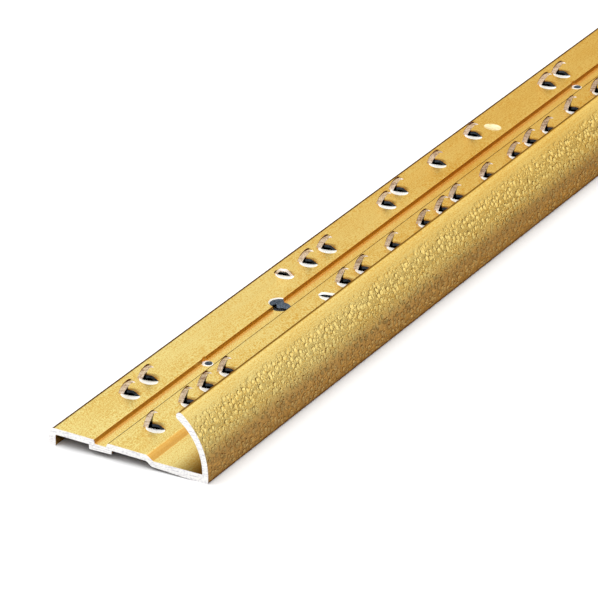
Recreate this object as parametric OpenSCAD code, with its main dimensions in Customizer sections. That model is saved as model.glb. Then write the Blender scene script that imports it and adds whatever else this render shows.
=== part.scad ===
/* [Strip] */
// length of the strip, in whole turns of the wheel that strikes the teeth
strip_length = 900; // [540:180:1800]
// width over the back lip and the front of the hood
strip_width = 35; // [34:0.5:40]
// thickness of the two toothed flanges
flange_wall = 1.3; // [1.1:0.1:1.4]
// height of the back edge over the floor
back_height = 3.68; // [3.4:0.02:4]
// fall of the flanges towards the front, in degrees
flange_fall = 2; // [0:0.5:2.5]
// thickness of the lip that hangs down at the back
lip_wall = 1.45; // [1.2:0.05:1.6]

/* [Hood] */
// height of the hood's tip over the floor
hood_height = 13.5; // [12:0.5:15]
// wall of the hood at its root
hood_wall = 1.25; // [1.1:0.05:1.4]
// radius of the hood's outer face
hood_outer_r = 15.4; // [15:0.1:16.4]
// how much tighter the hood's inner face is bent than its outer face
hood_swell = 3; // [2.8:0.05:3.2]
// width of the plate between the step and the front of the hood
plate_width = 13.4; // [12:0.2:14]
// thickness of that plate behind the step
plate_wall = 1.18; // [1:0.02:1.3]

/* [Nail groove] */
// distance of the groove's back wall from the back edge
groove_start = 10; // [9.8:0.1:10.6]
// width of the groove at its floor
groove_width = 2.4; // [2.2:0.1:2.8]
// depth of the groove below the flange
groove_depth = 0.85; // [0.6:0.05:1]
// thickness of metal under the groove
keel_wall = 1.35; // [1.2:0.05:1.45]
// bore of the small nail holes
nail_bore = 1.6; // [1.2:0.1:1.8]
// width of the countersink round a nail hole
nail_sink = 2.5; // [2.2:0.1:3]
// depth of that countersink
nail_sink_depth = 0.5; // [0.4:0.05:0.9]
// distance of the first nail hole from the cut end
nail_first = 41.3; // [36:0.1:60]
// number of nail holes along the strip
nail_count = 6; // [4:1:8]
// bore of the larger screw holes
screw_bore = 4.3; // [3.6:0.1:4.6]
// distance of a screw hole from its cut end
screw_first = 70.9; // [66:0.1:76]

/* [Teeth] */
// length of the slit in front of a tooth
slit_length = 4; // [3.6:0.1:4.2]
// height of a full tooth over the flange
tooth_height = 2.6; // [2:0.05:2.8]
// thickness of the torn metal of a tooth
tooth_wall = 0.85; // [0.7:0.05:0.95]
// depth of the scoop in front of a slit
scoop_depth = 0.22; // [0.14:0.02:0.4]
// reach of that scoop across the slit
scoop_reach = 1.5; // [1.2:0.1:1.7]
// turn of the slits against the width, in degrees
slit_turn = 22; // [15:1:30]
// how far a tooth leans back, in degrees
tooth_lean = 14; // [10:1:20]

/* [Hidden] */
wheel_turn = 180;
turn_count = floor(strip_length / wheel_turn);
end_margin = 5;
back_x = -strip_width / 2;
start_y = -strip_length / 2;
fall = tan(flange_fall);
over = 1;
overlap = 0.01;

// the section, from the back edge forwards
lip_round = 1.4;
lip_foot_break = 0.3;
keel_overhang = 1.1;
keel_front_overhang = 1.3;
keel_corner = 0.25;
wall_draft = 0.2;
groove_end = groove_start + wall_draft + groove_width;
groove_mouth_end = groove_end + 2 * wall_draft;
keel_end = groove_end + keel_front_overhang;
groove_floor = back_height - fall * (groove_start + groove_width / 2) - groove_depth;
keel_bottom = groove_floor - keel_wall;
plate_start = strip_width - plate_width;
step_run = 1.5;
step_break = 0.3;
plate_top = 1.9;
plate_top_fall = 0.15;
plate_bottom = plate_top - plate_wall;
rest_width = 3;
front_break = 0.4;

// the hood
hood_inner_r = hood_outer_r - hood_swell;
outer_axis = [strip_width - hood_outer_r, plate_top - front_break];
inner_axis = [strip_width - hood_wall - hood_inner_r, plate_top];
tip_guess = 0.8;
rise = (hood_height - outer_axis[1] - tip_guess) / (hood_outer_r - tip_guess);
tip_way = [sqrt(1 - rise * rise), rise];
axis_gap = inner_axis - outer_axis;
gap_along = tip_way * axis_gap;
tip_r = (hood_outer_r * hood_outer_r - 2 * hood_outer_r * gap_along + axis_gap * axis_gap
    - hood_inner_r * hood_inner_r) / (2 * (hood_outer_r + hood_inner_r - gap_along));
tip_axis = outer_axis + (hood_outer_r - tip_r) * tip_way;

// the holes
nail_pitch = (strip_length - 2 * nail_first) / (nail_count - 1);
nail_from_wall = 1.1;
screw_from_wall = 0.5;
nail_x = back_x + groove_start + nail_from_wall;
screw_x = back_x + groove_start + screw_from_wall;

// the teeth: place along the strip, place of the slit's end from the back edge, share of the height
front_row = [
    [9.5, 15.2, 1.15], [21.9, 15.6, 1.15], [29.7, 15.2, 1], [37.4, 15.2, 1.05], [77.9, 15.1, 0.2],
    [85.3, 15.1, 1.05], [92.6, 15.4, 1], [105.8, 15.5, 1.1], [119.1, 15.8, 1.05], [127.1, 15.8, 1],
    [134.3, 15.4, 1.15], [147.7, 15.8, 1.05], [160.7, 15.8, 0.95], [168.7, 15.5, 1.05],
    [176.7, 15.8, 1]];
back_row = [
    [19.0, 3.9, 0.95], [26.4, 3.7, 0.95], [82.0, 2.6, 0.5], [89.5, 4.0, 0.9], [97.5, 4.0, 0.9],
    [123.3, 4.1, 1], [131.0, 2.9, 1], [147.8, 3.2, 0.95], [165.4, 2.7, 0.9], [172.1, 4.0, 0]];
torn_from = 0.8;
teeth = [for (turn = [0:turn_count - 1]) for (t = concat(front_row, back_row))
    if (t[0] + turn * wheel_turn < strip_length - end_margin)
        [t[0] + turn * wheel_turn, t[1], t[2]]];
claw_reach = 0.6 * slit_length;
claw_depth = 0.72 * slit_length;
lip_depth = 0.72 * slit_length;
lip_top_at = 0.45 * slit_length;
lip_sheet = 0.6 * tooth_wall;
scoop_r = slit_length * slit_length / (8 * scoop_depth);
scoop_slope = atan(scoop_depth / scoop_reach);
tear_at = 0.38 * slit_length;
lip_rise = 0.4 * tooth_height;

// Which part to draw

// height of the flange's top at a distance from the back edge
function top_z(x) = back_height - fall * x;

module back_flange_section() {
    polygon([
        [lip_round, top_z(lip_round)],
        [groove_start, top_z(groove_start)],
        [groove_start, top_z(groove_start) - flange_wall],
        [lip_wall, top_z(lip_wall) - flange_wall],
        [lip_wall, 0],
        [lip_foot_break, 0],
        [0, 2 * lip_foot_break],
        [0, top_z(lip_round) - lip_round],
        [lip_round, top_z(lip_round) - lip_round]]);
    intersection() {
        translate([lip_round, top_z(lip_round) - lip_round])
            circle(r = lip_round);
        translate([0, top_z(lip_round) - lip_round])
            square([lip_round, lip_round]);
    }
}

// the nail groove with the keel that thickens the flange under it
module groove_section() {
    polygon([
        [groove_start - keel_overhang, keel_bottom],
        [groove_start - keel_overhang, top_z(groove_start - keel_overhang) - flange_wall / 2],
        [groove_start - keel_overhang / 2, top_z(groove_start) - flange_wall / 2],
        [groove_start, top_z(groove_start)],
        [groove_start + wall_draft, groove_floor],
        [groove_end, groove_floor - fall * groove_width],
        [groove_mouth_end, top_z(groove_mouth_end)],
        [keel_end, top_z(keel_end) - flange_wall / 2],
        [keel_end, keel_bottom + keel_corner],
        [keel_end - 2 * keel_corner, keel_bottom]]);
}

// the front flange, the step and the plate that runs to the hood
module front_flange_section() {
    polygon([
        [groove_mouth_end, top_z(groove_mouth_end)],
        [plate_start - step_break, top_z(plate_start - step_break)],
        [plate_start, top_z(plate_start) - step_break / 2],
        [plate_start + step_run, plate_top],
        [strip_width - hood_wall, plate_top - plate_top_fall],
        [strip_width - hood_wall, 0],
        [strip_width - rest_width, 0],
        [plate_start + step_run - plate_wall / 2, plate_bottom],
        [plate_start, top_z(plate_start) - flange_wall],
        [groove_mouth_end, top_z(groove_mouth_end) - flange_wall]]);
}

// outer and inner face are arcs that part from each other towards the rounded tip
module hood_section() {
    intersection() {
        difference() {
            translate(outer_axis)
                circle(r = hood_outer_r);
            translate(inner_axis)
                circle(r = hood_inner_r);
        }
        polygon([
            [inner_axis[0], outer_axis[1]],
            [strip_width + over, outer_axis[1]],
            [strip_width + over, hood_height],
            tip_axis + 2 * tip_r * tip_way,
            tip_axis,
            inner_axis]);
    }
    translate(tip_axis)
        circle(r = tip_r);
    polygon([
        [strip_width - hood_wall - front_break, 0],
        [strip_width - front_break, 0],
        [strip_width, front_break],
        [strip_width, outer_axis[1]],
        [strip_width - hood_wall, inner_axis[1]],
        [strip_width - hood_wall - front_break, plate_top - plate_top_fall]]);
}

module strip_section() {
    translate([back_x, 0]) {
        back_flange_section();
        groove_section();
        front_flange_section();
        hood_section();
    }
}

// puts a shape drawn at the left end of a slit, with z = 0 on the flange, at its place
module at_tooth(t) {
    translate([back_x + t[1], start_y + t[0], top_z(t[1])])
        rotate([0, flange_fall, 0])
            rotate([0, 0, slit_turn])
                children();
}

// a shape drawn across the slit, run along the slit
module along_slit(from, to) {
    translate([from, 0, 0])
        rotate([90, 0, 90])
            linear_extrude(height = to - from)
                children();
}

// the hole that a torn tooth leaves in the flange
module tooth_opening(t) {
    at_tooth(t)
        translate([0, 0, -2 * flange_wall])
            linear_extrude(height = 3 * flange_wall)
                polygon([
                    [tooth_wall, 0],
                    [slit_length, 0],
                    [0.85 * slit_length, 1.2 * tooth_wall],
                    [0.45 * slit_length, 2.4 * tooth_wall]]);
}

// the bright scoop that the punch drags in front of the slit
module tooth_scoop(t) {
    at_tooth(t)
        intersection() {
            translate([slit_length / 2, 0, -scoop_depth])
                rotate([90 - scoop_slope, 0, 0])
                    translate([0, scoop_r, 0])
                        cylinder(r = scoop_r, h = 1.5 * scoop_reach);
            translate([-slit_length, -2 * scoop_reach, -flange_wall])
                cube([3 * slit_length, 3 * scoop_reach, 1.5 * flange_wall]);
        }
}

// the petal of the torn dome that stands up at the slit's left end and curls over it
module tooth_claw(t) {
    high = tooth_height * t[2];
    claw_r = 0.8 * high;
    at_tooth(t)
        intersection() {
            rotate([-90 - tooth_lean, 0, 0])
                translate([claw_r, claw_r - high, 0])
                    difference() {
                        cylinder(r = claw_r, h = claw_depth + high);
                        translate([0, 0, -over])
                            cylinder(r = claw_r - tooth_wall, h = claw_depth + high + 2 * over);
                    }
            translate([0, 0, -flange_wall / 4])
                linear_extrude(height = high + flange_wall)
                    polygon([
                        [-tooth_wall, -over],
                        [claw_reach + tooth_wall / 2, -over],
                        [claw_reach, high * sin(tooth_lean) + tooth_wall / 3],
                        [0.9 * tooth_wall, claw_depth],
                        [-tooth_wall, claw_depth]]);
        }
}

// the low rest of the dome: highest over the slit, it sinks into the flange towards the back
module tooth_lip(t) {
    torn = t[2] > torn_from;
    high = torn ? lip_rise : tooth_height * t[2];
    from = torn ? tear_at : 0;
    top_at = torn ? lip_top_at : slit_length / 2;
    tilt = atan(high / lip_depth);
    drop = high * cos(tilt);
    half_width = slit_length - top_at;
    lip_r = (half_width * half_width + drop * drop) / (2 * drop);
    at_tooth(t)
        intersection() {
            rotate([-90 - tilt, 0, 0])
                translate([top_at, lip_r - drop, -over])
                    difference() {
                        cylinder(r = lip_r, h = 2 * lip_depth);
                        translate([0, 0, -over])
                            cylinder(r = lip_r - lip_sheet, h = 3 * lip_depth);
                    }
            translate([from, 0, -flange_wall / 4])
                cube([slit_length - from, 1.05 * lip_depth, high + flange_wall]);
        }
}

module nail_hole(y) {
    translate([nail_x, y, 0]) {
        translate([0, 0, -over])
            cylinder(d = nail_bore, h = back_height + over);
        translate([0, 0, groove_floor - nail_sink_depth])
            cylinder(d1 = nail_bore, d2 = nail_sink, h = nail_sink_depth);
        translate([0, 0, groove_floor - overlap])
            cylinder(d = nail_sink, h = back_height);
    }
}

module screw_hole(y) {
    translate([screw_x, y, -over])
        cylinder(d = screw_bore, h = back_height + 2 * over);
}

module nosing_strip() {
    color([0.88, 0.74, 0.40])
        union() {
            difference() {
                rotate([90, 0, 0])
                    linear_extrude(height = strip_length, center = true)
                        strip_section();
                for (t = teeth) {
                    if (t[2] > 0)
                        tooth_opening(t);
                    tooth_scoop(t);
                }
                for (i = [0:nail_count - 1])
                    nail_hole(start_y + nail_first + i * nail_pitch);
                for (side = [-1, 1])
                    screw_hole(side * (strip_length / 2 - screw_first));
            }
            for (t = teeth) {
                if (t[2] > torn_from)
                    tooth_claw(t);
                if (t[2] > 0)
                    tooth_lip(t);
            }
        }
}

nosing_strip();
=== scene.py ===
"""Gold anodised carpet-gripper nosing strip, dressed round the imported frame.

The strip is one aluminium extrusion. It is shown as four pieces of mesh: the base with its groove and
holes, the hammered hood, and the claws and the lips of the two rows of struck teeth.
"""
from __future__ import annotations

import logging
import math
from collections.abc import Callable
from dataclasses import dataclass, replace
from enum import Enum

import bmesh
import bpy
from mathutils import Matrix, Vector, noise


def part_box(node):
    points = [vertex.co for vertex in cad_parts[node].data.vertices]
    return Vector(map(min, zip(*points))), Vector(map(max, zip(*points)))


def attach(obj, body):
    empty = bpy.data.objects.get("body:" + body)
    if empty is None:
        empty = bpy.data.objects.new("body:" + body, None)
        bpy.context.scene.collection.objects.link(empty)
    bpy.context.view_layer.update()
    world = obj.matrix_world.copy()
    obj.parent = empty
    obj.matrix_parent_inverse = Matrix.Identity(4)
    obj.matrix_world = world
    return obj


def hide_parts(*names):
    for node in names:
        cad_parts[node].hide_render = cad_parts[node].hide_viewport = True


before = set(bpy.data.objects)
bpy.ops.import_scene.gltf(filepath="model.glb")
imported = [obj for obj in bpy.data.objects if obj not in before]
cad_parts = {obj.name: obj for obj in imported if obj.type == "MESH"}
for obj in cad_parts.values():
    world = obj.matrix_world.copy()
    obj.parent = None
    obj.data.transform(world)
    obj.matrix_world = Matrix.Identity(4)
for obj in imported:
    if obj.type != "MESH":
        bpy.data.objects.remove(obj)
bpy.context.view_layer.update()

LOG = logging.getLogger("nosing")
MM = 0.001
BODY = "root"
NODE = "nosing_strip"
PLACE = "hood_place"


def hex_to_linear(colour: str) -> tuple[float, float, float, float]:
    """Turns an sRGB colour into Blender's linear colour.

    Args:
        colour: the colour as "#rrggbb".

    Returns:
        Red, green, blue and alpha, each from 0 to 1.
    """
    parts = [int(colour[i:i + 2], 16) / 255 for i in (1, 3, 5)]
    line = [c / 12.92 if c <= 0.04045 else ((c + 0.055) / 1.055) ** 2.4 for c in parts]
    return (*line, 1.0)


Source = bpy.types.Node | bpy.types.NodeSocket
SUBTRACT = ("ShaderNodeMath", {"operation": "SUBTRACT"})
MULTIPLY = ("ShaderNodeMath", {"operation": "MULTIPLY"})
MULTIPLY_ADD = ("ShaderNodeMath", {"operation": "MULTIPLY_ADD"})
DIVIDE = ("ShaderNodeMath", {"operation": "DIVIDE"})
MAXIMUM = ("ShaderNodeMath", {"operation": "MAXIMUM"})
FADE = ("ShaderNodeMapRange", {"interpolation_type": "SMOOTHSTEP"})
BLEND = ("ShaderNodeMix", {"data_type": "RGBA"})
TINT = ("ShaderNodeMix", {"data_type": "RGBA", "blend_type": "MULTIPLY"})
SPLIT = ("ShaderNodeSeparateXYZ", {})
NOISE = ("ShaderNodeTexNoise", {})
BUMP = ("ShaderNodeBump", {})


def feed(tree: bpy.types.NodeTree, node: bpy.types.Node, inputs: dict | tuple) -> None:
    """Fills a node's inputs.

    Args:
        tree: the node's tree.
        node: the node.
        inputs: what each input gets, in their order or by name or number: a node, whose first live output
            is linked, a socket, a hex colour or a plain value.
    """
    for key, value in inputs.items() if isinstance(inputs, dict) else enumerate(inputs):
        if isinstance(value, bpy.types.Node):
            value = next(output for output in value.outputs if output.enabled)
        if isinstance(value, bpy.types.NodeSocket):
            tree.links.new(value, node.inputs[key])
        else:
            node.inputs[key].default_value = hex_to_linear(value) if str(value).startswith("#") else value


def add_node(tree: bpy.types.NodeTree, kind: str, settings: dict | None = None,
             inputs: dict | tuple = ()) -> bpy.types.Node:
    """Adds a node with its settings and links.

    Args:
        tree: the shader or geometry tree.
        kind: the node's type.
        settings: properties to set on the node.
        inputs: what its inputs get, as feed takes them.

    Returns:
        The new node.
    """
    node = tree.nodes.new(kind)
    for name, value in (settings or {}).items():
        setattr(node, name, value)
    feed(tree, node, inputs)
    return node


def object_place(tree: bpy.types.NodeTree, grain: tuple[float, float, float]) -> Source:
    """Gives object coordinates counted in grains.

    Args:
        tree: the shader tree.
        grain: the size of one grain along X, Y and Z, in millimetres.

    Returns:
        The scaled coordinates.
    """
    where = add_node(tree, "ShaderNodeTexCoord")
    return add_node(tree, "ShaderNodeMapping", {},
                    {"Vector": where.outputs["Object"], "Scale": [1 / (g * MM) for g in grain]})


def grains(tree: bpy.types.NodeTree, size: tuple[float, float, float], detail: float) -> Source:
    """Gives cloudy noise on object coordinates, about 0.5 on average.

    Args:
        tree: the shader tree.
        size: the size of one cloud along X, Y and Z, in millimetres.
        detail: how many finer layers are added.

    Returns:
        The noise.
    """
    return add_node(tree, *NOISE, {"Vector": object_place(tree, size), "Scale": 1.0, "Detail": detail})


def new_material(name: str) -> tuple[bpy.types.Material, bpy.types.NodeTree, bpy.types.Node]:
    """Makes a material with only a Principled shader.

    Args:
        name: the finish's name.

    Returns:
        The material, its tree and the shader.
    """
    material = bpy.data.materials.new(name)
    material.use_nodes = True
    tree = material.node_tree
    return material, tree, tree.nodes["Principled BSDF"]


@dataclass(frozen=True)
class SatinGoldAnodise:
    """Gold anodised aluminium, etched satin: a pale warm metal with soft, wide highlights.

    It greys towards pink at a grazing view. Over the first part of the strip its colour turns deeper, a
    painted shade for the light falling off along the strip, and painted shade and painted reflection are
    put into its hollows and on the faces that turn backwards or forwards.
    """

    name: str = "gold_anodised_satin"
    colour: str = "#fbf0a4"
    deep_colour: str = "#e3bd60"
    grazing_colour: str = "#c08a78"
    # painted reflection: the orange of gold facing gold, in hollows and on faces turned towards +X
    warm_reflection_colour: str = "#ffc25c"
    # painted shade, and the reach of the ambient occlusion that finds the hollows it darkens
    painted_shade_colour: str = "#3f2913"
    painted_shade_reach: float = 11.0
    # painted shade along the strip: the colour is tinted deeper over its first 180 mm, for the light
    # falling off away from the near end
    far_shade_tint: str = "#f5e0c4"
    far_shade_run: tuple[float, float] = (-455.0, -275.0)
    roughness: float = 0.38
    etch_grain: float = 0.27
    etch_depth: float = 0.02
    draw_line: float = 0.35
    draw_length: float = 70.0
    cloud: float = 7.0
    # painted shade on faces turned backwards; the share of painted shade under the hood and of warm painted
    # reflection; the span across the strip where the painted shade under the hood comes in; the heights
    # above which the warm painted reflection comes in
    back_edge_shade: tuple[float, float] = (-0.2, -0.03)
    painted_light_share: float = 0.9
    under_hood_shade: tuple[float, float] = (8.0, 15.5)
    warm_reflection_level: tuple[float, float] = (1.5, 2.0)

    def surface(self, tree: bpy.types.NodeTree) -> tuple[Source, Source, Source]:
        """Gives the satin's colour, roughness and height.

        Args:
            tree: the shader tree.

        Returns:
            The colour, the roughness and the height of the etch.
        """
        etch = grains(tree, (self.etch_grain,) * 3, 1.0)
        lines = grains(tree, (self.draw_line, self.draw_length, 4.0), 2.0)
        clouds = grains(tree, (self.cloud, 3 * self.cloud, self.cloud), 3.0)
        tone = 0.0
        for part, share in ((lines, 0.12), (clouds, 0.22), (etch, 0.66)):
            tone = add_node(tree, *MULTIPLY_ADD, (part, share, tone))
        colour = add_node(tree, *BLEND, {0: add_node(tree, *FADE, (tone, 0.4, 0.66)),
                                         6: self.colour, 7: self.deep_colour})
        # painted shade along the strip, for the light falling off away from the near end
        along = add_node(tree, *SPLIT, (object_place(tree, (1.0, 1.0, 1.0)),)).outputs[1]
        colour = add_node(tree, *TINT, {0: add_node(tree, *FADE, (along, *self.far_shade_run)),
                                        6: colour, 7: self.far_shade_tint})
        rough = add_node(tree, *FADE, (lines, 0.3, 0.7, self.roughness - 0.05, self.roughness + 0.06))
        height = add_node(tree, *MULTIPLY_ADD, (lines, 0.5, etch))
        return self.paint_light_and_shade(tree, colour), rough, height

    def paint_light_and_shade(self, tree: bpy.types.NodeTree, colour: Source) -> Source:
        """Paints light and shade into the colour: an orange painted reflection where gold faces gold,
        painted shade in the deepest hollows, on faces turned backwards and on the plate under the hood, and
        a warm painted reflection on faces turned towards +X.

        Args:
            tree: the shader tree.
            colour: the colour.

        Returns:
            The shaded colour.
        """
        open_sky = add_node(tree, "ShaderNodeAmbientOcclusion", {"samples": 6},
                            {"Distance": self.painted_shade_reach * MM}).outputs["AO"]
        facing = add_node(tree, "ShaderNodeNewGeometry")
        front, _, up = add_node(tree, *SPLIT, (facing.outputs["Normal"],)).outputs
        across, _, level = add_node(tree, *SPLIT, (object_place(tree, (1.0, 1.0, 1.0)),)).outputs
        # orange painted reflection where gold faces gold, in the half-open hollows
        warm = add_node(tree, *FADE, (open_sky, 0.32, 0.68, 1.0, 0.0))
        colour = add_node(tree, *BLEND, {0: warm, 6: colour, 7: self.warm_reflection_colour})
        # painted shade on faces turned backwards and in the deepest hollows
        backward = add_node(tree, *FADE, (front, *self.back_edge_shade, 0.95, 0.0))
        deep = add_node(tree, *MAXIMUM, (add_node(tree, *FADE, (open_sky, 0.1, 0.4, 1.0, 0.0)), backward))
        # painted shade on the plate under the hood's overhang, on faces that look up
        tunnel = add_node(tree, *MULTIPLY, (
            add_node(tree, *FADE, (across, *self.under_hood_shade, 0.0, self.painted_light_share)),
            add_node(tree, *FADE, (up, 0.8, 0.95))))
        colour = add_node(tree, *BLEND, {0: add_node(tree, *MAXIMUM, (deep, tunnel)),
                                         6: colour, 7: self.painted_shade_colour})
        # warm painted reflection on faces turned towards +X above the plate's level: the groove's back wall
        # and the step
        forward = add_node(tree, *MULTIPLY, (
            add_node(tree, *FADE, (front, 0.2, 0.5, 0.0, self.painted_light_share)),
            add_node(tree, *FADE, (open_sky, 0.7, 0.95, 1.0, 0.8))))
        forward = add_node(tree, *MULTIPLY, (forward, add_node(tree, *FADE, (level, *self.warm_reflection_level))))
        return add_node(tree, *BLEND, {0: forward, 6: colour, 7: self.warm_reflection_colour})

    def etch_bump(self, tree: bpy.types.NodeTree, height: Source) -> Source:
        """Gives the normal that the etch bends."""
        return add_node(tree, *BUMP, {"Strength": 0.5, "Distance": self.etch_depth * MM, "Height": height})

    def material(self) -> bpy.types.Material:
        """Makes the material."""
        material, tree, shader = new_material(self.name)
        colour, rough, height = self.surface(tree)
        feed(tree, shader, {"Base Color": colour, "Roughness": rough, "Metallic": 1.0,
                            "Specular Tint": self.grazing_colour, "Normal": self.etch_bump(tree, height)})
        return material


@dataclass(frozen=True)
class Hammering:
    """The pecked grain rolled into the hood's outer face before it was anodised, in millimetres.

    The tools met the skin aslant, so each dint has one steep wall, on the side of lean, from which its
    bed rises gently to the other side. Each layer is the dints' spacing, radius and share of the depth.
    """

    layers: tuple = ((1.35, 0.56, 1.0), (0.85, 0.3, 0.7))
    lean: tuple[float, float] = (0.908, -0.418)
    depth: float = 0.2
    sway: float = 0.35

    def field(self, tree: bpy.types.NodeTree, place: Source, wall: float) -> tuple[Source, Source]:
        """Gives how deep the skin is pecked at a place, and where the dints' steep walls are.

        Args:
            tree: a shader or geometry tree.
            place: coordinates up and along the skin in millimetres, and how much it is hammered.
            wall: the run of a dint's steep wall, in millimetres.

        Returns:
            From 0 on the untouched skin to 1 at a dint's deepest, and from 0 to 1 in its wall.
        """
        warp = add_node(tree, *NOISE, {"Vector": place, "Scale": 0.9, "Detail": 2.0})
        shift = add_node(tree, "ShaderNodeVectorMath", {"operation": "SUBTRACT"},
                         (warp.outputs["Color"], (0.5, 0.5, 0.5)))
        sway = add_node(tree, "ShaderNodeVectorMath", {"operation": "SCALE"},
                        {0: shift, "Scale": 2 * self.sway})
        bent = add_node(tree, "ShaderNodeVectorMath", {"operation": "ADD"}, (place, sway))
        depth, edge = 0.0, 0.0
        for spacing, radius, share in self.layers:
            cells = add_node(tree, "ShaderNodeTexVoronoi", {"feature": "F1", "voronoi_dimensions": "2D"},
                             {"Vector": bent, "Scale": 1 / spacing, "Randomness": 0.85})
            luck = add_node(tree, *SPLIT, (cells.outputs["Color"],)).outputs
            offset = add_node(tree, "ShaderNodeVectorMath", {"operation": "SUBTRACT"},
                              (bent, cells.outputs["Position"]))
            flat = add_node(tree, "ShaderNodeVectorMath", {"operation": "MULTIPLY"},
                            (offset, (1 / radius, 1 / radius, 0.0)))
            far = add_node(tree, "ShaderNodeVectorMath", {"operation": "LENGTH"}, (flat,))
            side = add_node(tree, "ShaderNodeVectorMath", {"operation": "DOT_PRODUCT"},
                            (flat, (*self.lean, 0.0)))
            size = add_node(tree, *MULTIPLY_ADD, (luck[0], 0.35, 0.75))
            out = add_node(tree, *DIVIDE, (far, size))
            struck = add_node(tree, *FADE, (luck[1], 0.1, 0.35, 0.0, share))
            steep = add_node(tree, *FADE, (out, 1 - wall / radius, 1.0, 1.0, 0.0))
            bed = add_node(tree, *FADE, (side, -1.0, 1.0, 0.1, 1.0))
            here = add_node(tree, *MULTIPLY, (add_node(tree, *MULTIPLY, (struck, steep)), bed))
            rim = add_node(tree, *MULTIPLY, (add_node(tree, *SUBTRACT, (1.0, steep)),
                                             add_node(tree, *FADE, (out, 1.0, 1.2, 1.0, 0.0))))
            rim = add_node(tree, *MULTIPLY, (rim, add_node(tree, *FADE, (side, 0.1, 0.7))))
            depth = add_node(tree, *MAXIMUM, (depth, here))
            edge = add_node(tree, *MAXIMUM, (edge, add_node(tree, *MULTIPLY, (rim, struck))))
        hammered = add_node(tree, *SPLIT, (place,)).outputs[2]
        return add_node(tree, *MULTIPLY, (depth, hammered)), add_node(tree, *MULTIPLY, (edge, hammered))


@dataclass(frozen=True)
class HammeredGoldAnodise:
    """The same anodise over the hammered face: the dints break its shine into flecks.

    Painted light and shade follow the height up the skin, in millimetres: painted shade low down and
    darkest at the foot, painted reflections along the rolled grain low down, painted highlights in the
    dints' beds, stronger higher up, and painted shade in their steep walls.
    """

    satin: SatinGoldAnodise
    hammering: Hammering
    name: str = "gold_anodised_hammered"
    skin_colour: str = "#f0bf5c"
    # in turn: painted shade low down, painted shade in the dints' steep walls, painted highlight in their
    # beds, painted reflection along the rolled grain, painted shade at the foot
    low_shade_colour: str = "#a28352"
    dint_wall_shade_colour: str = "#4c2a0a"
    bed_highlight_colour: str = "#ffea96"
    fleck_reflection_colour: str = "#d0a662"
    foot_shade_colour: str = "#4a3015"
    dint_wall: float = 0.2
    rolled_grain: tuple[float, float] = (0.28, 1.6)

    def material(self) -> bpy.types.Material:
        """Makes the material."""
        material, tree, shader = new_material(self.name)
        colour, rough, height = self.satin.surface(tree)
        place = add_node(tree, "ShaderNodeAttribute", {"attribute_name": PLACE}).outputs["Vector"]
        up = add_node(tree, *SPLIT, (place,)).outputs[0]
        dints, walls = self.hammering.field(tree, place, self.dint_wall)
        lines = add_node(tree, "ShaderNodeMapping", {},
                         {"Vector": place, "Scale": (*(1 / g for g in self.rolled_grain), 0.0)})
        rolled = add_node(tree, *NOISE, {"Vector": lines, "Scale": 1.0, "Detail": 2.0})
        # the rolled grain low down, coloured as a painted reflection
        fleck = add_node(tree, *MULTIPLY, (add_node(tree, *FADE, (rolled, 0.5, 0.68)),
                                           add_node(tree, *FADE, (up, 2.0, 7.5, 0.8, 0.0))))
        # painted highlights in the dints' beds, stronger higher up
        beds = add_node(tree, *MULTIPLY, (dints, add_node(tree, *FADE, (up, 4.0, 9.0, 0.15, 0.8))))
        # over a warmer tone: painted shade low down, painted reflection along the grain, painted highlights
        # in the dints' beds, painted shade in their walls and at the foot
        for share, over in ((0.3, self.skin_colour),
                            (add_node(tree, *FADE, (up, 4.2, 9.6, 1.0, 0.0)), self.low_shade_colour),
                            (fleck, self.fleck_reflection_colour),
                            (beds, self.bed_highlight_colour),
                            (add_node(tree, *MULTIPLY, (walls, 0.95)), self.dint_wall_shade_colour),
                            (add_node(tree, *FADE, (up, 0.15, 0.8, 0.85, 0.0)), self.foot_shade_colour)):
            colour = add_node(tree, *BLEND, {0: share, 6: colour, 7: over})
        press = add_node(tree, *SUBTRACT, (add_node(tree, *MULTIPLY, (dints, -1.0)),
                                           add_node(tree, *MULTIPLY, (rolled, 0.25))))
        bump = add_node(tree, *BUMP, {"Strength": 1.0, "Distance": self.hammering.depth * MM,
                                      "Height": press, "Normal": self.satin.etch_bump(tree, height)})
        feed(tree, shader, {"Base Color": colour, "Roughness": rough, "Normal": bump,
                            "Specular Tint": self.satin.grazing_colour, "Metallic": 1.0})
        return material


@dataclass(frozen=True)
class BareAluminium:
    """Aluminium without its anodise: almost white and faintly lined where it was sawn."""

    name: str = "sawn_aluminium"
    colour: str = "#f4f3f0"
    line_colour: str = "#cbc9cf"
    roughness: float = 0.45
    metallic: float = 0.7
    saw_line: float = 0.22
    grain: float = 0.45
    line_depth: float = 0.02

    def material(self) -> bpy.types.Material:
        """Makes the material."""
        material, tree, shader = new_material(self.name)
        lines = grains(tree, (3.0, 1.5, self.saw_line), 2.0)
        specks = grains(tree, (self.grain,) * 3, 2.0)
        tone = add_node(tree, *MULTIPLY_ADD, (lines, 0.6, add_node(tree, *MULTIPLY, (specks, 0.4))))
        colour = add_node(tree, *BLEND, {0: add_node(tree, *FADE, (tone, 0.42, 0.68)),
                                         6: self.colour, 7: self.line_colour})
        bump = add_node(tree, *BUMP, {"Strength": 0.4, "Distance": self.line_depth * MM, "Height": tone})
        feed(tree, shader, {"Base Color": colour, "Roughness": self.roughness, "Normal": bump,
                            "Metallic": self.metallic})
        return material


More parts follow.
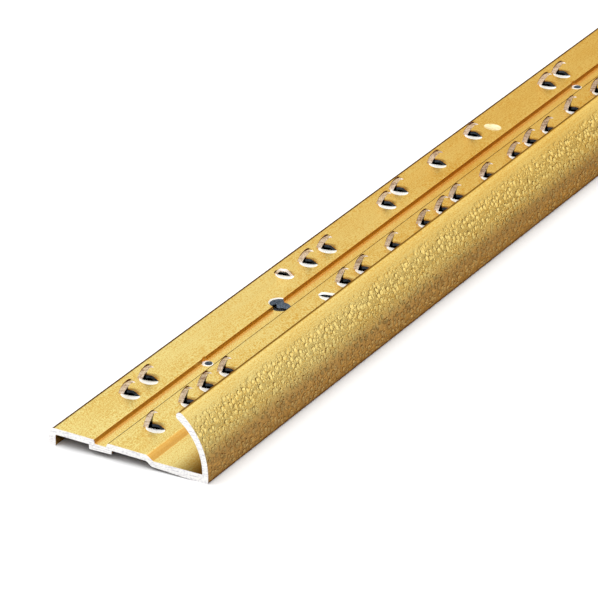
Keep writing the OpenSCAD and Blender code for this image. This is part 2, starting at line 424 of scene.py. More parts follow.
# in turn: rubbed bare by the striker and so palest, torn and so dull and streaked, near-black painted shade
# on the sheared faces in the teeth and their openings, the dimples that keep a thin gold, and bluish grey
# painted shade on the walls of the holes
SCUFFED = BareAluminium("scuffed_aluminium", "#fdfcf8", "#f1ead8", 0.5, 0.2, 0.6, 0.5)
TORN = BareAluminium("torn_aluminium", "#f6ece5", "#b29a8a", 0.5, 0.7, 0.3, 0.35)
PUNCHED_SHADE = BareAluminium("punched_aluminium_shade", "#3f464e", "#1d2023", 0.45, 1.0, 0.5, 0.4)
RUBBED = BareAluminium("rubbed_gold_anodise", "#fbedc2", "#ecd08c", 0.42, 0.6, 0.6, 0.5)
BORED_SHADE = BareAluminium("bored_aluminium_shade", "#8593a3", "#5a6672", 0.5, 0.25, 0.4, 0.4)


@dataclass(frozen=True)
class Finishes:
    """Every finish on the strip."""

    gold: bpy.types.Material
    hammered: bpy.types.Material
    sawn: bpy.types.Material
    scuffed: bpy.types.Material
    torn: bpy.types.Material
    # near-black painted shade on the sheared faces
    punched_shade: bpy.types.Material
    # bluish grey painted shade on the walls of the drilled holes
    bored_shade: bpy.types.Material
    rubbed: bpy.types.Material


@dataclass(frozen=True)
class MattePaint:
    """Matte white paint on the studio floor."""

    name: str = "matte_white_paint"
    colour: str = "#f6f6f6"

    def material(self) -> bpy.types.Material:
        """Makes the material."""
        material, tree, shader = new_material(self.name)
        feed(tree, shader, {"Base Color": self.colour, "Roughness": 0.9, "Specular IOR Level": 0.2})
        return material


@dataclass(frozen=True)
class Section:
    """The strip's section, in millimetres from its back edge and from the floor."""

    width: float
    length: float
    height: float
    back_height: float = 3.68
    flange_fall: float = 2.0
    flange_wall: float = 1.3
    lip_wall: float = 1.45
    lip_round: float = 1.4
    groove_start: float = 10.0
    groove_draft: float = 0.2
    groove_width: float = 2.4
    groove_depth: float = 0.85
    mouth_wear: float = 0.36
    keel_wall: float = 1.35
    keel_overhang: float = 1.1
    keel_front_overhang: float = 1.3
    plate_width: float = 13.4
    plate_top: float = 1.9
    plate_fall: float = 0.15
    plate_wall: float = 1.18
    step_run: float = 1.5
    rest_width: float = 3.0
    hood_wall: float = 1.25
    hood_outer_r: float = 15.4
    hood_swell: float = 3.0
    front_break: float = 0.4

    def flange_top(self, x: float) -> float:
        """Gives the height of the flange's top at a distance from the back edge."""
        return self.back_height - math.tan(math.radians(self.flange_fall)) * x

    def groove_floor(self) -> float:
        """Gives the height of the groove's floor."""
        return self.flange_top(self.groove_start + self.groove_width / 2) - self.groove_depth

    def place(self, x: float, z: float, y: float = 0.0) -> Vector:
        """Gives a point of the section in the row frame.

        Args:
            x: distance from the back edge.
            z: height over the floor.
            y: place along the strip from its middle.

        Returns:
            The point in metres.
        """
        return Vector(((x - self.width / 2) * MM, y * MM, z * MM))


def mesh_object(name: str, bm: bmesh.types.BMesh, materials: list[bpy.types.Material]) -> bpy.types.Object:
    """Turns a bmesh into an object at the origin.

    Args:
        name: the piece's name.
        bm: the bmesh, which is freed.
        materials: the mesh's materials in slot order.

    Returns:
        The object, linked to the scene.
    """
    mesh = bpy.data.meshes.new(name)
    bm.to_mesh(mesh)
    bm.free()
    for material in materials:
        mesh.materials.append(material)
    made = bpy.data.objects.new(name, mesh)
    bpy.context.collection.objects.link(made)
    return made


def apply_modifiers(target: bpy.types.Object) -> None:
    """Makes an object's live modifiers part of its mesh."""
    graph = bpy.context.evaluated_depsgraph_get()
    finished = bpy.data.meshes.new_from_object(target.evaluated_get(graph))
    spent = target.data
    target.modifiers.clear()
    target.data = finished
    finished.name = target.name
    bpy.data.meshes.remove(spent)


def smooth_by_angle(target: bpy.types.Object, degrees: float) -> None:
    """Shades an object smooth, with sharp edges past an angle."""
    target.data.shade_smooth()
    target.data.set_sharp_from_angle(angle=math.radians(degrees))


def enter(piece: bpy.types.Object) -> None:
    """Puts a finished piece on the frame in place of the plain strip."""
    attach(piece, BODY)
    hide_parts(NODE)
    graph = bpy.context.evaluated_depsgraph_get()
    shown = piece.evaluated_get(graph).to_mesh()
    shown.calc_loop_triangles()
    LOG.info("%s: %d triangles", piece.name, len(shown.loop_triangles))


class ToothKind(Enum):
    """How far the wheel drove a tooth through the flange."""

    TORN = "torn into a claw and a lip"
    ARCHED = "a whole arch over its slit"
    SLIT = "a slit with low lips"
    DIMPLE = "a dimple only"


@dataclass(frozen=True)
class Tooth:
    """One struck tooth: its place in millimetres and its form."""

    along: float
    across: float
    share: float
    kind: ToothKind

    def frame(self, section: Section, turn: float) -> Matrix:
        """Gives the matrix from the tooth's own millimetres to the row frame.

        Args:
            section: the strip's section.
            turn: how far the slit is turned against the width, in degrees.

        Returns:
            The matrix: the slit runs along X from its left end, and Z = 0 is the flange's top.
        """
        middle = section.place(self.across, section.flange_top(self.across),
                               self.along - section.length / 2)
        tilt = Matrix.Rotation(math.radians(section.flange_fall), 4, "Y")
        spin = Matrix.Rotation(math.radians(turn), 4, "Z")
        return Matrix.Translation(middle) @ tilt @ spin @ Matrix.Scale(MM, 4)


@dataclass
class Teeth:
    """Both rows of teeth, in millimetres, as one turn of the striking wheel repeats them.

    Each row gives the teeth's places along the strip and across it, and their shares of the full height.
    """

    section: Section
    finishes: Finishes
    wheel_turn: float = 180.0
    end_margin: float = 5.0
    torn_from: float = 0.6
    arched_from: float = 0.3
    slit_length: float = 4.1
    slit_turn: float = 22.0
    claw_wall: float = 1.0
    claw_reach: float = 2.75
    claw_height: float = 3.0
    claw_depth: float = 2.8
    lip_wall: float = 0.5
    lip_start: float = 1.7
    lip_rise: float = 0.95
    lip_reach: float = 3.1
    arch_rise: float = 1.3
    arch_reach: float = 2.2
    slit_rise: float = 0.36
    bow: float = 0.32
    cut_low: float = -2.2
    cut_high: float = 0.6
    scoop_place: tuple[float, float, float] = (2.4, -0.45, 0.42)
    scoop_turn: float = -30.0
    scoop_radii: tuple[float, float, float] = (2.8, 2.2, 0.62)
    front_row: tuple = (
        (9.5, 15.2, 1.05), (21.9, 15.6, 1.05), (29.7, 15.2, 1.0), (37.4, 15.2, 1.0),
        (77.9, 15.1, 0.2), (85.3, 15.1, 1.0), (92.6, 15.4, 1.0), (105.8, 15.5, 1.05),
        (119.1, 15.8, 1.0), (127.1, 15.8, 1.0), (134.3, 15.4, 1.05), (147.7, 15.8, 1.0),
        (160.7, 15.8, 0.95), (168.7, 15.5, 1.0), (176.7, 15.8, 1.0))
    back_row: tuple = (
        (19.0, 3.9, 0.8), (26.4, 3.7, 0.8), (82.0, 2.6, 0.5), (89.5, 4.0, 0.75), (97.5, 4.0, 0.75),
        (123.3, 4.1, 0.85), (131.0, 2.9, 0.85), (147.8, 3.2, 0.8), (165.4, 2.7, 0.75), (172.1, 4.0, 0.0))

    def all(self) -> list[Tooth]:
        """Gives the teeth of both rows along the whole strip."""
        teeth = []
        for turn in range(round(self.section.length / self.wheel_turn)):
            for along, across, share in self.front_row + self.back_row:
                start = along + turn * self.wheel_turn
                if start < self.section.length - self.end_margin:
                    teeth.append(Tooth(start, across, share, self.kind_of(share)))
        return teeth

    def kind_of(self, share: float) -> ToothKind:
        """Gives a tooth's kind from its share of the full height."""
        if share > self.torn_from:
            return ToothKind.TORN
        if share > self.arched_from:
            return ToothKind.ARCHED
        return ToothKind.SLIT if share > 0 else ToothKind.DIMPLE

    def wander(self, tooth: Tooth, salt: float) -> float:
        """Gives a small number from -1 to 1 that differs from tooth to tooth."""
        return noise.noise(Vector((tooth.along * 0.37, tooth.across * 1.7, salt * 7.3)))

    def sheet(self, bm: bmesh.types.BMesh, tooth: Tooth, steps: tuple[int, int],
              shape: Callable[[float, float], Vector], index: int = 0, thin: bool = False) -> None:
        """Adds a bent sheet.

        Args:
            bm: the bmesh that gets it.
            tooth: the tooth it belongs to.
            steps: the grid's steps along and across the sheet.
            shape: gives a point in the tooth's millimetres for a share along and across.
            index: the sheet's material slot.
            thin: whether the metal is drawn out thin towards the sheet's far end.
        """
        to_row = tooth.frame(self.section, self.slit_turn)
        weights = bm.verts.layers.deform.verify()
        grid = bmesh.ops.create_grid(bm, x_segments=steps[0], y_segments=steps[1], size=1.0)["verts"]
        for vert in grid:
            vert[weights][0] = 1 - 0.9 * smooth((vert.co.x + 1) / 2, 0.45, 1.1) if thin else 1.0
            vert.co = to_row @ shape((vert.co.x + 1) / 2, (vert.co.y + 1) / 2)
        for face in {f for v in grid for f in v.link_faces}:
            face.material_index = index

    def claw(self, bm: bmesh.types.BMesh, tooth: Tooth) -> None:
        """Adds the tall petal that stands up at the slit's left end and curls over it."""
        lean = 1 - tooth.share
        high = self.claw_height * (1 - 0.75 * lean) * (1 + 0.06 * self.wander(tooth, 1))
        reach = self.claw_reach * (1 + 0.8 * lean) * (1 + 0.08 * self.wander(tooth, 2))
        knots = ((-0.12, -0.5), (0.07 * reach + 1.2 * lean, (0.58 + 1.2 * lean) * high),
                 (0.44 * reach + 3.1 * lean, (1.23 + 0.3 * lean) * high), (reach, high))

        def shape(s: float, t: float) -> Vector:
            u = sum(w * k[0] for w, k in zip(bezier(s), knots))
            z = sum(w * k[1] for w, k in zip(bezier(s), knots))
            wide = self.claw_depth * (1 - s) ** 0.8 + 0.12
            sink = 1 - 0.2 * t * (1 - s)
            bulge = 0.75 * t * (1 - s) - 0.18 * smooth(t, 0.0, 0.3)
            return Vector((u * sink + bulge, 0.15 * max(z, 0) + wide * t, z * sink))

        self.sheet(bm, tooth, (14, 6), shape, thin=True)

    def lip(self, bm: bmesh.types.BMesh, tooth: Tooth) -> None:
        """Adds the low petal that rises towards the slit and blends into the flange behind it."""
        torn = tooth.kind is ToothKind.TORN
        start = self.lip_start if torn else 0.1
        rise = {ToothKind.TORN: self.lip_rise, ToothKind.ARCHED: self.arch_rise,
                ToothKind.SLIT: self.slit_rise}[tooth.kind]
        rise *= 1 + 0.12 * self.wander(tooth, 3)
        reach = self.lip_reach if torn else self.arch_reach

        def shape(p: float, q: float) -> Vector:
            left = start - (0.3 * q if torn else 0.0)
            u = left + p * (self.slit_length + 0.35 - left)
            if torn:
                swell = 1 - smooth(p, 0.4, 1.05) - 0.12 * (1 - smooth(p, 0.0, 0.22))
            else:
                swell = smooth(p, 0.0, 0.3) * (1 - smooth(p, 0.6, 1.0))
            return Vector((u, self.slit_bow(u) + reach * q, rise * swell * (1 - q) ** 1.7 - 0.02))

        slot = {ToothKind.TORN: 0, ToothKind.ARCHED: 2, ToothKind.SLIT: 4}[tooth.kind]
        self.sheet(bm, tooth, (10, 7), shape, slot)

    def slit_bow(self, u: float) -> float:
        """Gives how far the slit bends forward at a distance from its left end."""
        return -self.bow * (u / self.slit_length) ** 2

    def opening(self, bm: bmesh.types.BMesh, tooth: Tooth) -> None:
        """Adds the cutter for the hole under a tooth."""
        if tooth.kind is ToothKind.DIMPLE:
            return
        end = self.slit_length
        shut = tooth.kind is ToothKind.SLIT
        outline = [(0.75, -0.02), *((u, self.slit_bow(u)) for u in (2.0, 3.2, end)),
                   (0.85 * end, 0.25 if shut else 0.9), (0.42 * end, 0.3 if shut else 2.5),
                   (0.25 * end, 0.2 if shut else 1.8)]
        face = bm.faces.new([bm.verts.new((u, v, self.cut_low)) for u, v in outline])
        pushed = bmesh.ops.extrude_face_region(bm, geom=[face])["geom"]
        tops = [g for g in pushed if isinstance(g, bmesh.types.BMVert)]
        bmesh.ops.translate(bm, verts=tops, vec=(0, 0, self.cut_high - self.cut_low))
        solid = tops + list(face.verts)
        bmesh.ops.transform(bm, matrix=tooth.frame(self.section, self.slit_turn), verts=solid)

    def scoop(self, bm: bmesh.types.BMesh, tooth: Tooth) -> None:
        """Adds the cutter for the shallow dish that the striker rubs in front of a slit."""
        shift = Vector((0.1 * self.wander(tooth, 4), 0, 0))
        turn = math.radians(self.scoop_turn + 3 * self.wander(tooth, 5))
        wide, deep, high = self.scoop_radii
        lens = (Matrix.Translation(Vector(self.scoop_place) + shift) @ Matrix.Rotation(turn, 4, "Z")
                @ Matrix.Diagonal((wide, deep * (1 + 0.1 * self.wander(tooth, 6)), high, 1)))
        bmesh.ops.create_uvsphere(bm, u_segments=28, v_segments=14, radius=1.0,
                                  matrix=tooth.frame(self.section, self.slit_turn) @ lens)

    def thicken(self, name: str, bm: bmesh.types.BMesh, wall: float,
                materials: list[bpy.types.Material], inner: int) -> bpy.types.Object:
        """Turns bent sheets into metal with a torn rim.

        Args:
            name: the piece's name.
            bm: the sheets, seen from their outer side.
            wall: the metal's thickness.
            materials: the outer face's finish, the rim's and the others.
            inner: how many slots after the outer face's the inner face's finish is.

        Returns:
            The finished piece.
        """
        piece = mesh_object(name, bm, materials)
        piece.vertex_groups.new(name="metal")
        thick = piece.modifiers.new("metal", "SOLIDIFY")
        thick.vertex_group = "metal"
        thick.thickness = wall * MM
        thick.offset = -1.0
        thick.use_rim = True
        thick.material_offset = inner
        thick.material_offset_rim = 1
        apply_modifiers(piece)
        smooth_by_angle(piece, 50)
        return piece

    def build_claws(self) -> bpy.types.Object:
        """Builds the claws of both rows."""
        bm = bmesh.new()
        for tooth in self.all():
            if tooth.kind is ToothKind.TORN:
                self.claw(bm, tooth)
        f = self.finishes
        # the claws' inner faces get the near-black painted shade
        return self.thicken("tooth_claws", bm, self.claw_wall, [f.gold, f.torn, f.punched_shade], 2)

    def build_lips(self) -> bpy.types.Object:
        """Builds the lips and the low arches of both rows."""
        bm = bmesh.new()
        for tooth in self.all():
            if tooth.kind is not ToothKind.DIMPLE:
                self.lip(bm, tooth)
        f = self.finishes
        # the torn and slit lips' rims and inner faces get the near-black painted shade
        return self.thicken("tooth_lips", bm, self.lip_wall,
                            [f.gold, f.punched_shade, f.gold, f.torn, f.scuffed, f.punched_shade], 1)


def bezier(s: float) -> tuple[float, float, float, float]:
    """Gives the four weights of a cubic curve at a share of its length."""
    r = 1 - s
    return r ** 3, 3 * r * r * s, 3 * r * s * s, s ** 3


def smooth(value: float, low: float, high: float) -> float:
    """Gives a smooth step from 0 at low to 1 at high."""
    t = min(max((value - low) / (high - low), 0.0), 1.0)
    return t * t * (3 - 2 * t)


@dataclass
class BaseStrip:
    """The flanges, the nail groove, the step and the plate, with every hole through them."""

    section: Section
    teeth: Teeth
    finishes: Finishes
    nail_bore: float = 1.6
    nail_sink: float = 2.6
    sink_depth: float = 0.18
    nail_first: float = 41.3
    nail_count: int = 6
    nail_from_wall: float = 1.1
    sink_shift: float = -0.4
    screw_bore: float = 4.3
    screw_rim: float = 0.15
    screw_first: float = 70.9
    screw_from_wall: float = 0.5
    through: float = 1.0

    def corners(self) -> list[tuple[float, float, float]]:
        """Gives the section's corners with their rounding radii, clockwise from the lip's foot."""
        s = self.section
        top = s.flange_top
        wall = s.flange_wall
        groove_end = s.groove_start + s.groove_draft + s.groove_width
        mouth_end = groove_end + 2 * s.groove_draft
        keel_start = s.groove_start - s.keel_overhang
        keel_end = groove_end + s.keel_front_overhang
        keel_low = s.groove_floor() - s.keel_wall
        step = s.width - s.plate_width
        plate_end = s.width - s.hood_wall
        slope = math.tan(math.radians(s.flange_fall))
        return [
            (0.0, 0.0, 0.35),
            (0.0, top(0.0), s.lip_round),
            (s.groove_start, top(s.groove_start), 0.12),
            (s.groove_start + s.groove_draft, s.groove_floor(), 0.1),
            (groove_end, s.groove_floor() - slope * s.groove_width, 0.1),
            (mouth_end, top(mouth_end) - s.mouth_wear / 3, 0.05),
            (mouth_end + s.mouth_wear, top(mouth_end + s.mouth_wear), 0.0),
            (step, top(step), 0.3),
            (step + s.step_run, s.plate_top, 0.12),
            (plate_end, s.plate_top - s.plate_fall, 0.0),
            (plate_end, 0.0, 0.0),
            (s.width - s.rest_width, 0.0, 0.1),
            (step + s.step_run - s.plate_wall / 2, s.plate_top - s.plate_wall, 0.4),
            (step, top(step) - wall, 0.4),
            (keel_end, top(keel_end) - wall, 0.12),
            (keel_end, keel_low, 0.2),
            (keel_start, keel_low, 0.2),
            (keel_start, top(keel_start) - wall, 0.12),
            (s.lip_wall, top(s.lip_wall) - wall, 0.2),
            (s.lip_wall, 0.0, 0.12)]

    def bar(self) -> bpy.types.Object:
        """Builds the uncut bar, with bare metal on its two sawn ends."""
        s = self.section
        bm = bmesh.new()
        corners = self.corners()
        verts = [bm.verts.new(s.place(x, z, -s.length / 2)) for x, z, _ in corners]
        bm.faces.new(verts)
        for vert, (_, _, radius) in zip(verts, corners):
            if radius > 0:
                bmesh.ops.bevel(bm, geom=[vert], offset=radius * MM, affect="VERTICES",
                                segments=max(3, round(radius * 7)), profile=0.5, material=-1)
        pushed = bmesh.ops.extrude_face_region(bm, geom=bm.faces[:])["geom"]
        far = [g for g in pushed if isinstance(g, bmesh.types.BMVert)]
        bmesh.ops.translate(bm, verts=far, vec=(0, s.length * MM, 0))
        bmesh.ops.recalc_face_normals(bm, faces=bm.faces)
        for face in bm.faces:
            face.material_index = 1 if abs(face.normal.y) > 0.9 else 0
        return mesh_object("base_strip", bm, [self.finishes.gold, self.finishes.sawn])

    def drill(self, bm: bmesh.types.BMesh, place: tuple[float, float], low: float, high: float,
              width_low: float, width_high: float) -> None:
        """Adds a round cutter.

        Args:
            bm: the bmesh that gets it.
            place: its axis, from the back edge and along the strip from its middle.
            low: height of its lower end.
            high: height of its upper end.
            width_low: diameter at the lower end.
            width_high: diameter at the upper end.
        """
        middle = self.section.place(place[0], (low + high) / 2, place[1])
        bmesh.ops.create_cone(bm, cap_ends=True, segments=40, radius1=width_low / 2 * MM,
                              radius2=width_high / 2 * MM, depth=(high - low) * MM,
                              matrix=Matrix.Translation(middle))

    def nail_places(self) -> list[tuple[float, float]]:
        """Gives the places of the nail holes."""
        s = self.section
        pitch = (s.length - 2 * self.nail_first) / (self.nail_count - 1)
        return [(s.groove_start + self.nail_from_wall, -s.length / 2 + self.nail_first + i * pitch)
                for i in range(self.nail_count)]

    def screw_places(self) -> list[tuple[float, float]]:
        """Gives the places of the two larger holes."""
        s = self.section
        return [(s.groove_start + self.screw_from_wall, side * (s.length / 2 - self.screw_first))
                for side in (-1, 1)]

    def clearances(self, bm: bmesh.types.BMesh) -> None:
        """Adds the cutters for the notches that the nail holes leave in the groove's walls."""
        floor = self.section.groove_floor()
        for place in self.nail_places():
            self.drill(bm, place, floor - 0.01, floor + 2, self.nail_sink, self.nail_sink)

    def countersinks(self, bm: bmesh.types.BMesh) -> None:
        """Adds the cutters for the dishes of the nail holes and the rubbed rims of the larger holes."""
        s = self.section
        floor = s.groove_floor()
        for across, along in self.nail_places():
            self.drill(bm, (across, along + self.sink_shift), floor - self.sink_depth, floor,
                       self.nail_bore, self.nail_sink)
        for across, along in self.screw_places():
            rim = s.flange_top(across) - self.screw_rim
            self.drill(bm, (across, along), rim, rim + 2 * self.screw_rim, self.screw_bore,
                       self.screw_bore + 4 * self.screw_rim)

    def bores(self, bm: bmesh.types.BMesh) -> None:
        """Adds the cutters for the bores of the nail holes and for the two larger holes."""
        top = self.section.back_height + self.through
        for places, bore in ((self.nail_places(), self.nail_bore), (self.screw_places(), self.screw_bore)):
            for place in places:
                self.drill(bm, place, -self.through, top, bore, bore)

    def scoops(self, bm: bmesh.types.BMesh) -> None:
        """Adds the cutters for the scoops in front of the slits."""
        for tooth in self.teeth.all():
            if tooth.kind is not ToothKind.DIMPLE:
                self.teeth.scoop(bm, tooth)

    def dimples(self, bm: bmesh.types.BMesh) -> None:
        """Adds the cutters for the dimples that have no slit."""
        for tooth in self.teeth.all():
            if tooth.kind is ToothKind.DIMPLE:
                self.teeth.scoop(bm, tooth)

    def openings(self, bm: bmesh.types.BMesh) -> None:
        """Adds the cutters for the holes under the teeth."""
        for tooth in self.teeth.all():
            self.teeth.opening(bm, tooth)

    def cut(self, bar: bpy.types.Object, fill: Callable[[bmesh.types.BMesh], None],
            material: bpy.types.Material) -> None:
        """Cuts one set of holes out of the bar.

        Args:
            bar: the bar.
            fill: adds the cutters to a bmesh.
            material: what the cut faces get.
        """
        bm = bmesh.new()
        fill(bm)
        bmesh.ops.recalc_face_normals(bm, faces=bm.faces)
        tool = mesh_object("cutter", bm, [material])
        saw = bar.modifiers.new("cut", "BOOLEAN")
        saw.operation = "DIFFERENCE"
        saw.solver = "MANIFOLD"
        saw.material_mode = "TRANSFER"
        saw.object = tool
        apply_modifiers(bar)
        bpy.data.objects.remove(tool)

    def build(self) -> bpy.types.Object:
        """Builds the finished base."""
        bar = self.bar()
        finishes = self.finishes
        # the openings under the teeth get the near-black painted shade and the drilled holes the bluish
        # grey painted shade
        for fill, finish in ((self.scoops, finishes.scuffed), (self.dimples, finishes.rubbed),
                             (self.openings, finishes.punched_shade), (self.clearances, finishes.gold),
                             (self.countersinks, finishes.scuffed), (self.bores, finishes.bored_shade)):
            self.cut(bar, fill, finish)
        smooth_by_angle(bar, 22)
        weigh = bar.modifiers.new("flat faces", "WEIGHTED_NORMAL")
        weigh.keep_sharp = True
        weigh.weight = 100
        return bar


@dataclass
class Hood:
    """The curved hood that closes over the carpet's edge, hammered on its outer face."""

    section: Section
    hammering: Hammering
    finishes: Finishes
    skin_step: float = 0.44
    wall_step: float = 10.0
    tip_guess: float = 0.8
    smooth_band: float = 1.6
    smooth_fade: float = 1.4
    smooth_foot: tuple[float, float] = (0.3, 0.9)
    dint_wall: float = 0.35
    pressed_share: float = 0.5

    def arc(self, centre: tuple[float, float], radius: float, start: float, end: float,
            steps: int) -> list[tuple[float, float]]:
        """Gives points along an arc of the section.

        Args:
            centre: the arc's centre.
            radius: its radius.
            start: its first angle, in radians from +X towards +Z.
            end: its last angle.
            steps: how many steps it takes.

        Returns:
            The points after the first.
        """
        turns = [start + (end - start) * (i + 1) / steps for i in range(steps)]
        return [(centre[0] + radius * math.cos(t), centre[1] + radius * math.sin(t)) for t in turns]

    def outlines(self) -> tuple[list[tuple[float, float]], list[tuple[float, float]], float]:
        """Gives the hood's outer and inner outline, and the length of the outer one to the tip."""
        s = self.section
        outer = Vector((s.width - s.hood_outer_r, s.plate_top - s.front_break))
        inner_r = s.hood_outer_r - s.hood_swell
        inner = Vector((s.width - s.hood_wall - inner_r, s.plate_top))
        rise = (s.height - outer.y - self.tip_guess) / (s.hood_outer_r - self.tip_guess)
        way = Vector((math.sqrt(1 - rise * rise), rise))
        gap = inner - outer
        along = way.dot(gap)
        tip_r = ((s.hood_outer_r ** 2 - 2 * s.hood_outer_r * along + gap.length_squared - inner_r ** 2)
                 / (2 * (s.hood_outer_r + inner_r - along)))
        tip = outer + (s.hood_outer_r - tip_r) * way
        turn = math.asin(rise)
        back = math.atan2(tip.y - inner.y, tip.x - inner.x)
        step = self.skin_step
        corner = (s.width - s.front_break, s.front_break)
        skin = [(s.width - s.front_break, 0.0)]
        skin += self.arc(corner, s.front_break, -math.pi / 2, 0.0, 3)
        rises = round((outer.y - s.front_break) / step)
        skin += [(s.width, s.front_break + (outer.y - s.front_break) * (i + 1) / rises)
                 for i in range(rises)]
        skin += self.arc(tuple(outer), s.hood_outer_r, 0.0, turn, round(turn * s.hood_outer_r / step))
        reach = sum((Vector(b) - Vector(a)).length for a, b in zip(skin, skin[1:]))
        skin += self.arc(tuple(tip), tip_r, turn, back + math.pi, 8)
        wall = self.arc(tuple(inner), inner_r, back, 0.0, 14)
        wall.append((s.width - s.hood_wall, 0.0))
        return skin, wall, reach

    def shell(self, bm: bmesh.types.BMesh, outline: list[tuple[float, float]], step: float) -> list:
        """Adds a sheet that carries an outline along the strip.

        Args:
            bm: the bmesh that gets it.
            outline: the outline's points.
            step: the length of one step along the strip.

        Returns:
            The new vertices.
        """
        s = self.section
        rows = round(s.length / step)
        last = len(outline) - 1
        grid = bmesh.ops.create_grid(bm, x_segments=last, y_segments=rows, size=1.0)["verts"]
        for vert in grid:
            x, z = outline[round((vert.co.x + 1) / 2 * last)]
            vert.co = s.place(x, z, vert.co.y * s.length / 2)
        return grid

    def edge_line(self, bm: bmesh.types.BMesh, point: tuple[float, float]) -> list:
        """Gives the open edges that run along the strip at a point of the section."""
        target = self.section.place(*point)
        line = []
        for edge in bm.edges:
            if edge.is_boundary and all(abs(v.co.x - target.x) < 1e-6 and abs(v.co.z - target.z) < 1e-6
                                        for v in edge.verts):
                line.append(edge)
        return line

    def build(self) -> bpy.types.Object:
        """Builds the finished hood."""
        s = self.section
        skin, wall, reach = self.outlines()
        bm = bmesh.new()
        self.shell(bm, skin, self.skin_step)
        self.shell(bm, wall, self.wall_step)
        for near, far in ((skin[-1], wall[0]), (skin[0], wall[-1])):
            bmesh.ops.bridge_loops(bm, edges=self.edge_line(bm, near) + self.edge_line(bm, far))
        bmesh.ops.holes_fill(bm, edges=[e for e in bm.edges if e.is_boundary], sides=0)
        bmesh.ops.recalc_face_normals(bm, faces=bm.faces)
        for face in bm.faces:
            face.material_index = 1 if abs(face.normal.y) > 0.9 else 0
        LOG.info("hood: %d open edges", sum(not e.is_manifold for e in bm.edges))
        hood = mesh_object("hood", bm, [self.finishes.hammered, self.finishes.sawn])
        self.store_place(hood, reach)
        self.hammer(hood)
        smooth_by_angle(hood, 40)
        return hood

    def store_place(self, hood: bpy.types.Object, reach: float) -> None:
        """Stores each point's place on the skin: up it, along it, and how much it is hammered there.

        Args:
            hood: the hood.
            reach: the length of the outer outline up to the tip.
        """
        s = self.section
        axis_x = s.width - s.hood_outer_r
        axis_z = s.plate_top - s.front_break
        lead = 0.5 * math.pi * s.front_break + axis_z - s.front_break
        places = hood.data.attributes.new(PLACE, "FLOAT_VECTOR", "POINT")
        for vert, item in zip(hood.data.vertices, places.data):
            x = vert.co.x / MM + s.width / 2
            z = vert.co.z / MM
            turn = math.atan2(z - axis_z, x - axis_x)
            up = lead + turn * s.hood_outer_r if z > axis_z else z
            outer = math.hypot(x - axis_x, z - axis_z) > s.hood_outer_r - 0.05 or z <= axis_z
            edge = reach - self.smooth_band
            struck = smooth(up, *self.smooth_foot) * (1 - smooth(up, edge - self.smooth_fade, edge))
            item.vector = (up, vert.co.y / MM, struck if outer and x > axis_x + 5 else 0.0)

    def hammer(self, hood: bpy.types.Object) -> None:
        """Presses the dints into the hood's outer face."""
        tree = bpy.data.node_groups.new("hammering", "GeometryNodeTree")
        tree.interface.new_socket("Geometry", in_out="INPUT", socket_type="NodeSocketGeometry")
        tree.interface.new_socket("Geometry", in_out="OUTPUT", socket_type="NodeSocketGeometry")
        source = add_node(tree, "NodeGroupInput")
        place = add_node(tree, "GeometryNodeInputNamedAttribute", {"data_type": "FLOAT_VECTOR"},
                         {"Name": PLACE})
        depth, _ = self.hammering.field(tree, place, self.dint_wall)
        drop = add_node(tree, *MULTIPLY, (depth, -self.pressed_share * self.hammering.depth * MM))
        normal = add_node(tree, "GeometryNodeInputNormal")
        sink = add_node(tree, "ShaderNodeVectorMath", {"operation": "SCALE"}, {0: normal, "Scale": drop})
        moved = add_node(tree, "GeometryNodeSetPosition", {},
                         {"Geometry": source.outputs[0], "Offset": sink})
        add_node(tree, "NodeGroupOutput", {}, (moved,))
        press = hood.modifiers.new("hammering", "NODES")
        press.node_group = tree
        apply_modifiers(hood)


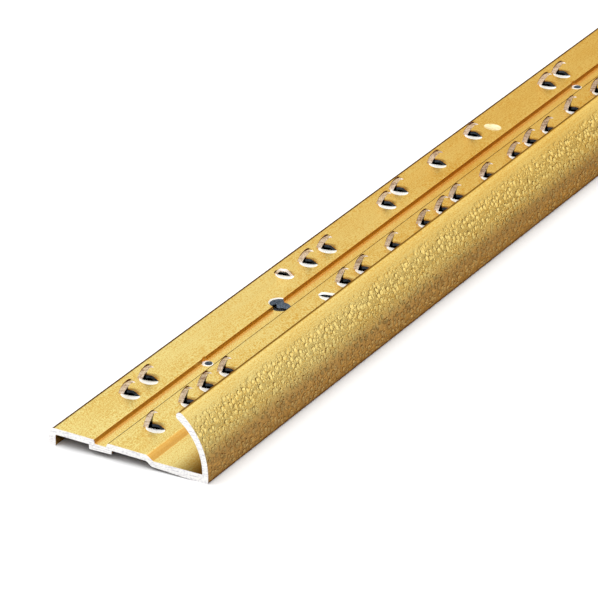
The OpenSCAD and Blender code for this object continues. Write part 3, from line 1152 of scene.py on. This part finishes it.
@dataclass
class Studio:
    """The pale floor, the soft lights and the camera."""

    section: Section
    floor_half: float = 15.0
    lamps: tuple = (("key", (-0.7, -0.6, 1.5), 1.2, 12.0), ("fill", (1.1, -1.3, 1.1), 1.2, 4.0))
    horizon: tuple[float, float, float, float] = (0.08, 0.48, 0.15, 1.12)
    lens: float = 289.657
    camera_place: tuple[float, float, float] = (0.4239865, -1.1425953, 0.4092868)
    look_down: float = 24.80317
    look_turn: float = 29.19626

    def build(self) -> None:
        """Builds the whole studio."""
        self.floor()
        self.hang_lamps()
        self.world()
        self.camera()

    def floor(self) -> None:
        """Lays the floor."""
        bm = bmesh.new()
        bmesh.ops.create_grid(bm, x_segments=4, y_segments=4, size=self.floor_half)
        floor = mesh_object("studio_floor", bm, [MattePaint().material()])

    def hang_lamps(self) -> None:
        """Hangs the soft boxes, each with its name, place, size in metres and power in watts."""
        near = Vector((0, -self.section.length / 2 * MM, 0))
        for name, place, size, power in self.lamps:
            light = bpy.data.lights.new(name, "AREA")
            light.shape = "SQUARE"
            light.size = size
            light.energy = power
            lamp = bpy.data.objects.new(name, light)
            lamp.location = place
            lamp.rotation_euler = (near - Vector(place)).to_track_quat("-Z", "Y").to_euler()
            bpy.context.collection.objects.link(lamp)

    def world(self) -> None:
        """Gives the room: bright above, greyer towards the horizon."""
        world = bpy.data.worlds.new("studio")
        bpy.context.scene.world = world
        world.use_nodes = True
        tree = world.node_tree
        way = add_node(tree, "ShaderNodeTexCoord")
        up = add_node(tree, *SPLIT, (way.outputs["Generated"],)).outputs[2]
        level = add_node(tree, *FADE, (up, *self.horizon))
        feed(tree, tree.nodes["Background"], {"Color": "#ffffff", "Strength": level})

    def camera(self) -> None:
        """Sets the camera at the photograph's angle."""
        data = bpy.data.cameras.new("camera")
        data.lens = self.lens
        data.sensor_width = 36.0
        data.sensor_fit = "HORIZONTAL"
        data.clip_start = 0.01
        data.clip_end = 60.0
        camera = bpy.data.objects.new("camera", data)
        camera.location = self.camera_place
        camera.rotation_euler = (math.radians(90 - self.look_down), 0, math.radians(self.look_turn))
        bpy.context.collection.objects.link(camera)
        bpy.context.scene.camera = camera


def main() -> None:
    """Builds the strip and its studio, and reports each piece."""
    logging.basicConfig(level=logging.INFO, format="%(message)s")
    low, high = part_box(NODE)
    section = Section(width=(high.x - low.x) / MM, length=(high.y - low.y) / MM, height=high.z / MM)
    Studio(section).build()
    satin = SatinGoldAnodise()
    hammering = Hammering()
    # the hood's skin: painted shade on faces turned backwards reaches further round its tip, it has no
    # painted shade under the hood or warm painted reflection, and a milder painted shade along the strip
    skin = replace(satin, back_edge_shade=(0.0, 0.35), painted_light_share=0.0, far_shade_tint="#fff0d8")
    finishes = Finishes(satin.material(), HammeredGoldAnodise(skin, hammering).material(),
                        BareAluminium().material(), SCUFFED.material(), TORN.material(), PUNCHED_SHADE.material(),
                        BORED_SHADE.material(), RUBBED.material())
    teeth = Teeth(section, finishes)
    enter(BaseStrip(section, teeth, finishes).build())
    enter(Hood(section, hammering, finishes).build())
    enter(teeth.build_claws())
    enter(teeth.build_lips())
    bpy.context.scene.view_settings.view_transform = "Standard"


if __name__ == "__main__":
    main()
